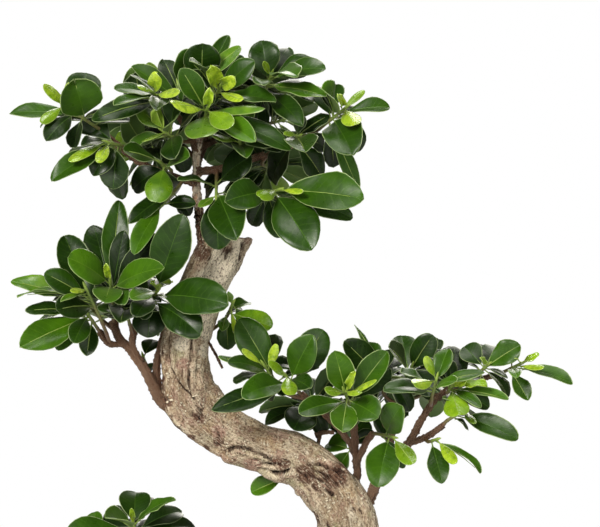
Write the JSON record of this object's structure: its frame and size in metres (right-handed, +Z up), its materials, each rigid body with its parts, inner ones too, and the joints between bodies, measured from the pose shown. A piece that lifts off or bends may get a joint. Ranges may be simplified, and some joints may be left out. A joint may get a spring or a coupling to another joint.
{
  "type": "chinese banyan bonsai",
  "caption": "Potted fig bonsai with an S-shaped trunk, spreading surface roots and separate pads of glossy oval leaves, in a rectangular glazed pot.",
  "frame": {"origin": "on the ground under the middle of the pot", "axes": "+Z up, +X along the pot's long side to the right of the front view, +Y away from the front, towards the back of the tree"},
  "size_m": [0.558, 0.2705, 0.7958],
  "materials": {
    "bark": "matte",
    "leaf": "gloss",
    "soil": "matte",
    "glaze": "gloss"
  },
  "bodies": {
    "root": {"pot": "glaze", "soil": "soil", "trunk": "bark", "shoot_crownWest": "leaf", "shoot_crownWestLow": "leaf", "shoot_crownUpWest": "leaf", "shoot_crownPeakWest": "leaf", "shoot_crownHeart": "leaf", "shoot_crownCurl": "leaf", "shoot_crownPeak": "leaf", "shoot_crownTopEast": "leaf", "shoot_crownEast": "leaf", "shoot_crownEastMid": "leaf", "shoot_crownLowEast": "leaf", "shoot_crownCentreLow": "leaf", "shoot_crownWestMid": "leaf", "shoot_crownHanging": "leaf", "shoot_crownInnerWest": "leaf", "shoot_crownInnerEast": "leaf", "shoot_crownInnerLow": "leaf", "shoot_crownBackWest": "leaf", "shoot_crownBackWestTop": "leaf", "shoot_crownBackWestLow": "leaf", "shoot_crownBackTop": "leaf", "shoot_crownBackEnd": "leaf", "shoot_crownBackEast": "leaf", "shoot_crownBackEastTop": "leaf", "shoot_crownBackEastLow": "leaf", "shoot_leftHeart": "leaf", "shoot_leftWest": "leaf", "shoot_leftLow": "leaf", "shoot_leftMid": "leaf", "shoot_leftEast": "leaf", "shoot_leftSpur": "leaf", "shoot_leftBackWest": "leaf", "shoot_leftBackTop": "leaf", "shoot_leftBackEast": "leaf", "shoot_middle": "leaf", "shoot_rightFarWest": "leaf", "shoot_rightWest": "leaf", "shoot_rightDark": "leaf", "shoot_rightFront": "leaf", "shoot_rightBackWest": "leaf", "shoot_rightCrest": "leaf", "shoot_rightHeart": "leaf", "shoot_rightMid": "leaf", "shoot_rightEast": "leaf", "shoot_rightTip": "leaf", "shoot_rightHang": "leaf", "shoot_rightLowEast": "leaf", "shoot_rightUnder": "leaf", "shoot_rightBehind": "leaf", "shoot_rightBackEast": "leaf", "shoot_rightBackLow": "leaf", "shoot_under": "leaf", "shoot_lowHeart": "leaf", "shoot_lowWest": "leaf", "shoot_lowEast": "leaf", "shoot_lowFront": "leaf", "shoot_lowBack": "leaf"}
  },
  "joints": []
}
